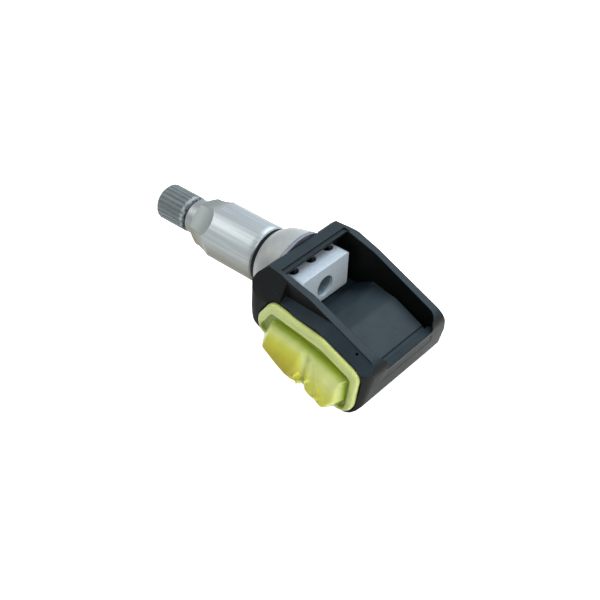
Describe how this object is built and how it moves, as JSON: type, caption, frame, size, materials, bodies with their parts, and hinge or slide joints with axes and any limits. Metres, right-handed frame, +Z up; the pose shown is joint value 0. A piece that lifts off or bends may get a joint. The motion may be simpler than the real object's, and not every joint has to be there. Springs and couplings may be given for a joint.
{
  "type": "tyre pressure sensor",
  "caption": "Wheel sensor with a clamp-in valve: black moulded housing on an inclined seat, soft side plug, clamp block, long hex sleeve nut and grooved cap.",
  "frame": {"origin": "on the valve axis, in the plane of the nut's rear face, where the grommet's collar stands in the rim's hole", "axes": "+X along the valve axis from the cap towards the housing's tail, +Z up and away from the housing's base, +Y to the side away from the soft plug"},
  "size_m": [0.085, 0.0435, 0.0294],
  "materials": {
    "housing": "black glass-filled nylon, moulded, satin",
    "side_plug": "translucent yellow-green soft moulding",
    "valve_stem": "turned and threaded aluminium",
    "clamp_block": "die-cast aluminium, satin",
    "rim_grommet": "light grey moulded rubber",
    "grommet_ring": "blue-grey anodised ring",
    "nut_washer": "black nylon ring",
    "sleeve_nut": "turned aluminium, satin silver",
    "valve_cap": "grey moulded plastic with grip grooves",
    "cap_seal": "black rubber ring",
    "core_body": "turned brass",
    "core_gasket": "white fluoropolymer ring",
    "core_pin": "drawn brass",
    "core_pin_seal": "black rubber",
    "core_spring": "spring steel wire",
    "circuit_board": "green solder mask on glass laminate",
    "battery_cell": "nickel-plated can",
    "battery_tabs": "nickel strip",
    "sensor_chip": "black moulded package",
    "port_filter": "white membrane",
    "radio_chip": "black moulded package",
    "crystal": "plated can",
    "coil_core": "dark ferrite",
    "coil_winding": "lacquered copper wire",
    "capacitors": "ceramic with tinned ends",
    "antenna_strip": "stamped brass strip"
  },
  "bodies": {
    "sensor": {"housing": "housing", "side_plug": "side_plug", "valve_stem": "valve_stem", "clamp_block": "clamp_block", "rim_grommet": "rim_grommet", "grommet_ring": "grommet_ring", "core_body": "core_body", "core_gasket": "core_gasket", "core_spring": "core_spring", "circuit_board": "circuit_board", "battery_cell": "battery_cell", "battery_tabs": "battery_tabs", "sensor_chip": "sensor_chip", "port_filter": "port_filter", "radio_chip": "radio_chip", "crystal": "crystal", "coil_core": "coil_core", "coil_winding": "coil_winding", "capacitors": "capacitors", "antenna_strip": "antenna_strip"},
    "washer": {"nut_washer": "nut_washer"},
    "nut": {"sleeve_nut": "sleeve_nut"},
    "seal": {"cap_seal": "cap_seal"},
    "cap": {"valve_cap": "valve_cap"},
    "pin": {"core_pin": "core_pin", "core_pin_seal": "core_pin_seal"}
  },
  "joints": [
    {"name": "nut_travel", "type": "slide", "parent": "sensor", "child": "washer", "axis": [-1, 0, 0], "range_m": [0, 0.0007]},
    {"name": "nut_turn", "type": "hinge", "parent": "washer", "child": "nut", "pos_m": [0, 0, 0], "axis": [-1, 0, 0], "range_deg": [0, 252.1]},
    {"name": "cap_travel", "type": "slide", "parent": "sensor", "child": "seal", "axis": [-1, 0, 0], "range_m": [0, 0.00397]},
    {"name": "cap_turn", "type": "hinge", "parent": "seal", "child": "cap", "pos_m": [-0.0367, 0, 0], "axis": [-1, 0, 0], "range_deg": [0, 1800.5]},
    {"name": "pin_press", "type": "slide", "parent": "sensor", "child": "pin", "axis": [1, 0, 0], "range_m": [0, 0.0011], "stiffness_N_per_m": 1500, "springref_m": -0.002}
  ],
  "couplings": [
    {"joint": "nut_turn", "follows": "nut_travel", "rad_per_m": 6283.2},
    {"joint": "cap_turn", "follows": "cap_travel", "rad_per_m": 7913.3}
  ]
}
